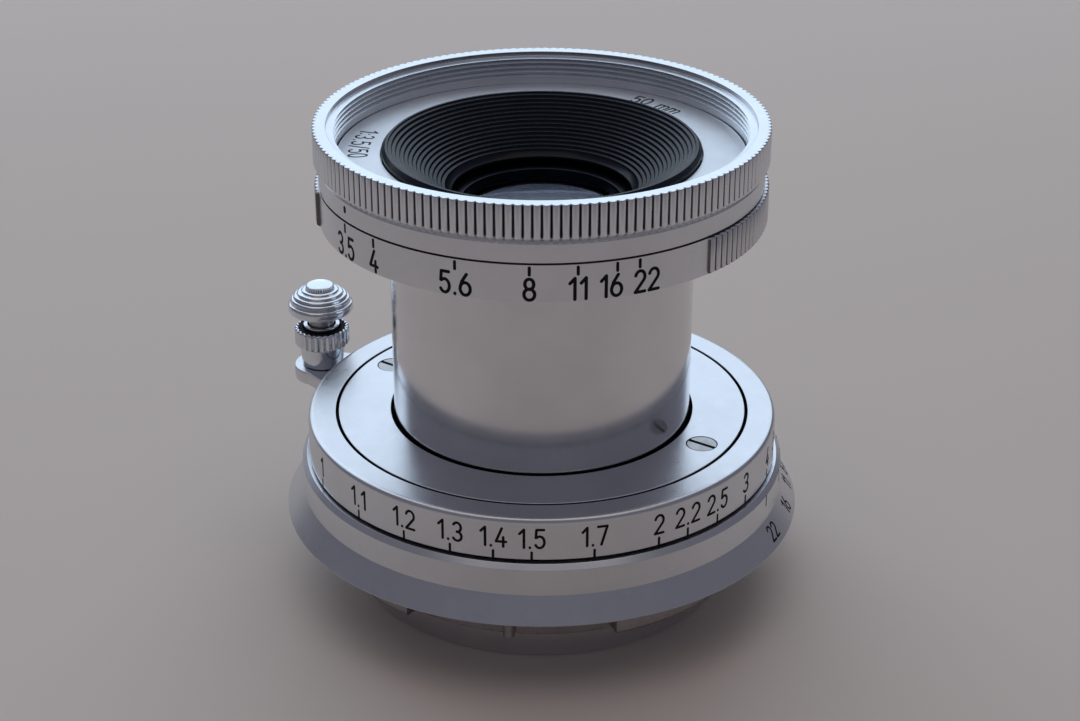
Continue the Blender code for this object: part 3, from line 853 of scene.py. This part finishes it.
def build_cap(centre):
    """The lock's button: a dome with four beads, a fine-toothed crown and a rolled rim."""
    cap_top, cap_low = top("lock_cap"), low("lock_cap")
    crown_r, rim_r = 1.45, 3.3
    dome_r, dome_rise, dome_foot = 3.24, 2.25, cap_low + 0.95
    outline = [(0.0, cap_top - 0.12), (0.70, cap_top - 0.10), (crown_r - 0.14, cap_top - 0.01),
               (crown_r, cap_top - 0.09)]
    beads, crown_teeth = 4, 36
    inner_angle, outer_angle = math.degrees(math.acos(crown_r / dome_r)), 19.0
    for k in range(beads):
        for share, rise in ((0.04, -0.07), (0.16, 0.0), (0.34, 0.03), (0.50, 0.04), (0.66, 0.03),
                            (0.84, 0.0), (0.96, -0.07)):
            angle = math.radians(inner_angle + (outer_angle - inner_angle) * (k + share) / beads)
            outline.append(((dome_r + rise) * math.cos(angle),
                            dome_foot + (dome_rise + rise) * math.sin(angle)))
    rim_top, rim_low = cap_low + 1.46, cap_low + 0.50
    outline += [(rim_r - 0.24, rim_top), (rim_r - 0.10, rim_top - 0.06), (rim_r, rim_top - 0.24),
                (rim_r, rim_low + 0.22), (rim_r - 0.10, rim_low + 0.03),
                (rim_r - 0.30, rim_low - 0.06), (1.9, cap_low), (0.0, cap_low)]

    def crown(azimuth, radius, height):
        if height < cap_top - 0.40 or radius < crown_r - 0.06 or radius > crown_r + 0.06:
            return radius
        return radius - 0.09 * (0.5 + 0.5 * math.cos(math.radians(azimuth * crown_teeth)))
    cap = turned("lock_cap_turned", outline, KNOB, crown_teeth * 8, shape=crown, centre=centre)
    stand_in(cap, "lock_cap")


# ---- the cover disc ---------------------------------------------------------------------------

def build_disc():
    disc_top, disc_low = top("cover_disc"), low("cover_disc")
    outer = reach("cover_disc")
    bore = 14.62
    disc = turned("cover_disc_turned", eased([
        (outer, disc_top, 0.07), (outer, disc_low), (bore, disc_low), (bore, disc_top, 0.07)]),
        SATIN)
    holes = []
    for i in (1, 2):
        node = f"cover_screw_{i}"
        place = middle(node)
        head_r = (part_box(node)[1].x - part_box(node)[0].x) / MM / 2.0
        holes.append(turned(f"cover_hole_{i}", [
            (0.0, disc_top + 1.0), (head_r + 0.08, disc_top + 1.0), (head_r + 0.08, disc_low - 1.0),
            (0.0, disc_low - 1.0)], STEEL, 64, centre=(place.x, place.y)))
        screw = turned(f"cover_screw_{i}_turned", eased([
            (0.0, top(node)), (head_r, top(node), 0.05), (head_r, top(node) - 0.6),
            (0.7, top(node) - 1.0), (0.7, low(node)), (0.0, low(node))]), STEEL, 64,
            centre=(place.x, place.y))
        slot = bar(f"cover_slot_{i}", (head_r * 3.0, 0.42, 1.1),
                   (place.x, place.y, top(node)), -35.0)
        carve(screw, [slot])
        stand_in(screw, node)
    carve(disc, holes)
    # Painted shade on the disc's outer and inner walls, in the gaps beside it.
    darken(disc, outer - 0.05, outer + 0.1, disc_low - 0.1, disc_top - 0.12)
    darken(disc, bore - 0.1, bore + 0.05, disc_low - 0.1, disc_top - 0.12)
    stand_in(disc, "cover_disc")


# ---- the tube and the head --------------------------------------------------------------------

def build_tube():
    outer = reach("tube")
    tube = turned("tube_polished", eased([
        (outer, top("tube")), (outer, low("tube")), (outer - 0.7, low("tube")),
        (outer - 0.7, top("tube"))]), MIRROR)
    stand_in(tube, "tube")


def build_index_ring():
    ring_r = reach("index_ring")
    ring_top, ring_low = top("index_ring"), low("index_ring")
    ring = turned("index_ring_turned", eased([
        (ring_r - 0.28, ring_top, 0.05), (ring_r, ring_top - 0.28, 0.05), (ring_r, ring_low, 0.05),
        (19.4, ring_low), (19.4, ring_top)]), SATIN)
    stand_in(ring, "index_ring")
    mark = Engraving()
    mark.stroke([(0.0, 0.0), (0.0, 0.28)], 0.42,
                on_slope(ring_r, (ring_low + ring_top) / 2.0 - 0.1, FIRST_APERTURE_AZIMUTH))
    mark.piece("aperture_index", "lens_tube")


def build_rim():
    """The knurled front rim with its filter thread."""
    outer = reach("front_rim")
    rim_top, rim_low = top("front_rim"), low("front_rim")
    wall = 19.0
    thread_top, thread_pitch, turns = rim_top - 0.5, 0.47, 4
    outline = [(outer - 0.05, rim_top, 0.05), (outer, rim_top - 0.12, 0.0),
               (outer, rim_low + 0.25, 0.0), (outer - 0.22, rim_low, 0.05), (wall, rim_low)]
    for k in range(turns, 0, -1):
        bottom = thread_top - k * thread_pitch
        outline += [(wall + 0.06, bottom, 0.0), (wall + 0.42, bottom + thread_pitch * 0.42, 0.0),
                    (wall + 0.42, bottom + thread_pitch * 0.52, 0.0),
                    (wall + 0.06, bottom + thread_pitch * 0.90, 0.0)]
    outline += [(19.74, thread_top + 0.06, 0.03), (19.74, rim_top, 0.06)]
    rim = turned("front_rim_knurled", eased(outline), BRIGHT_SATIN, KNURL_SEGMENTS,
                 shape=knurled(outer))
    # The grooves' deeper faces take the darker metal.
    darken(rim, outer - KNURL_DEPTH, outer - GROOVE_DEPTH, rim_low + 0.25, rim_top - 0.15,
           DARK_GROOVE_METAL)
    stand_in(rim, "front_rim")


def build_name_ring():
    outer, face = reach("name_ring"), top("name_ring")
    ring = turned("name_ring_turned", eased([
        (outer, face), (outer, low("name_ring")), (14.85, low("name_ring")), (14.85, face, 0.04)]),
        MATT)
    stand_in(ring, "name_ring")
    figures = Engraving()
    figures.text("1:3.5/50", 1.70, 0.20, on_face(16.9, face, -96.0, outward=False))
    figures.text("50 mm", 1.70, 0.20, on_face(16.9, face, 138.0, outward=True))
    figures.piece("name_ring_figures", "lens_tube")


def build_baffle():
    """The black baffle: a raised lip and a cone with fine ridges."""
    lip = top("baffle_cone")
    foot = low("baffle_cone")
    outer = reach("baffle_cone")
    ridges = 14
    start = (14.15, lip - 0.16)
    end = (8.9, foot + 0.62)
    outline = [(14.42, lip, 0.05), (outer, lip - 0.34, 0.05), (outer, 35.4), (13.05, 35.4),
               (13.05, 34.85), (9.2, foot), (8.35, foot), (8.35, foot + 0.25, 0.08)]
    step_r = (start[0] - end[0]) / ridges
    step_z = (start[1] - end[1]) / ridges
    for k in range(ridges, 0, -1):
        r = start[0] - step_r * k
        z = start[1] - step_z * k
        outline += [(r, z, 0.0), (r + step_r * 0.22, z + step_z * 0.82, 0.04),
                    (r + step_r * 0.62, z + step_z * 0.88, 0.04)]
    outline += [(14.15, lip - 0.16, 0.03), (14.2, lip, 0.03)]
    cone = turned("baffle_cone_ridged", eased(outline), GLOSS_BLACK)
    stand_in(cone, "baffle_cone")


def build_aperture_ring():
    grip_r = reach("aperture_ring")
    ring_top, ring_low = top("aperture_ring"), low("aperture_ring")
    outline = eased([
        (grip_r - 0.10, ring_top, 0.05), (grip_r, ring_top - 0.14, 0.0),
        (grip_r, ring_low + 0.2, 0.0), (grip_r - 0.2, ring_low, 0.05), (19.5, ring_low),
        (19.5, ring_top)])
    ring = turned("aperture_ring_gripped", outline, SATIN, KNURL_SEGMENTS,
                  shape=knurled(grip_r, plain=APERTURE_R, spans=GRIP_STARTS))
    # The grooves' deeper faces take the darker metal.
    darken(ring, grip_r - KNURL_DEPTH, grip_r - GROOVE_DEPTH, ring_low + 0.1, ring_top - 0.1,
           DARK_GROOVE_METAL)
    stand_in(ring, "aperture_ring")
    aperture_scale()


def build_front_optics():
    cell_top = top("front_retainer")
    retainer = turned("front_retainer_turned", eased([
        (8.0, cell_top), (8.0, cell_top - 1.1), (7.45, cell_top - 1.1), (7.45, cell_top, 0.10)]),
        GLOSS_BLACK)
    stand_in(retainer, "front_retainer")
    glass("element_1_front", 7.9, 1.0, 0.1)
    glass("element_4_rear", 7.6, 1.3, -0.4)


def glass(node, edge_r, front_bulge, rear_bulge):
    """A polished element with smooth faces; a bulge is how far a face rises towards the front."""
    steps = 18
    edge_front = top(node) - max(front_bulge, 0.0)
    edge_rear = low(node) - min(rear_bulge, 0.0)
    outline = []
    for i in range(steps + 1):
        radius = edge_r * i / steps
        outline.append((radius, edge_front + front_bulge * (1.0 - (radius / edge_r) ** 2)))
    for i in range(steps, -1, -1):
        radius = edge_r * i / steps
        outline.append((radius, edge_rear + rear_bulge * (1.0 - (radius / edge_r) ** 2)))
    piece = turned(node + "_polished", outline, GLASS, 128)
    stand_in(piece, node)


# ---- carried-over CAD nodes, camera and lights ------------------------------------------------

SLOT_MATERIALS = {
    "satin_chrome": SATIN, "polished_chrome": MIRROR, "black_anodised": BLACK, "brass": BRASS,
    "steel": STEEL, "coated_glass": GLASS, "blued_steel": BLUED, "index_bead": RED,
}


def finish_cad_nodes():
    """Every CAD node, shown or hidden, takes its slot's procedural material."""
    slots = {part["node"]: part["material_slot"] for part in frame["record"]["subparts"]}
    for name, obj in frame["nodes"].items():
        obj.data.materials.clear()
        obj.data.materials.append(SLOT_MATERIALS[slots[name]])


def floor_material():
    mat, tree, shader = new_material("pale_floor")
    clouds = noise(tree, 3.0, 2.0)
    tree.links.new(between(tree, clouds, (0.74, 0.65, 0.58), (0.77, 0.68, 0.61)),
                   shader.inputs["Base Color"])
    shader.inputs["Roughness"].default_value = 0.75
    return mat


def build_floor():
    half = 1.5
    mesh = bpy.data.meshes.new("floor")
    height = low("cam_ring") * MM
    mesh.from_pydata([(-half, -half, height), (half, -half, height), (half, half, height),
                      (-half, half, height)], [], [(0, 1, 2, 3)])
    mesh.materials.append(floor_material())
    floor = bpy.data.objects.new("floor", mesh)
    bpy.context.scene.collection.objects.link(floor)


COOL_TINT = (0.70, 0.85, 1.0)


def softbox(name, place, target, size, power, colour):
    light = bpy.data.lights.new(name, "AREA")
    light.shape = "RECTANGLE"
    light.size, light.size_y = size
    light.energy = power
    light.color = colour
    obj = bpy.data.objects.new(name, light)
    obj.location = place
    obj.rotation_euler = (Vector(target) - Vector(place)).to_track_quat("-Z", "Y").to_euler()
    bpy.context.scene.collection.objects.link(obj)


def build_lights():
    """A cool window and sky light behind, a soft light overhead and a dim, slightly cool room."""
    softbox("window", (-0.12, 0.66, 0.34), (0.0, 0.0, 0.02), (1.10, 0.42), 1.7, COOL_TINT)
    softbox("sky", (-0.05, 0.52, 0.74), (0.0, 0.0, 0.02), (1.20, 0.50), 1.7, COOL_TINT)
    softbox("overhead", (0.0, 0.0, 1.10), (0.0, 0.0, 0.0), (1.2, 1.2), 2.3, (1.0, 0.93, 0.86))
    world = bpy.data.worlds.new("studio")
    world.use_nodes = True
    background = world.node_tree.nodes["Background"]
    background.inputs["Color"].default_value = (0.17, 0.17, 0.21, 1.0)
    background.inputs["Strength"].default_value = 0.80
    bpy.context.scene.world = world
    bpy.context.scene.view_settings.view_transform = "Standard"


def build_camera():
    camera = bpy.data.cameras.new("camera")
    camera.sensor_width = 36.0
    camera.lens = 73.94
    obj = bpy.data.objects.new("camera", camera)
    obj.location = Vector((-0.16, -191.9, 108.3)) * MM
    obj.rotation_euler = (math.radians(90.0 - 26.09), 0.0, 0.0)
    camera.clip_start = 0.01
    camera.clip_end = 20.0
    bpy.context.scene.collection.objects.link(obj)
    bpy.context.scene.camera = obj


finish_cad_nodes()
build_mount()
depth_scale()
build_focus()
build_disc()
build_tube()
build_index_ring()
build_rim()
build_name_ring()
build_baffle()
build_aperture_ring()
build_front_optics()
build_floor()
build_lights()
build_camera()
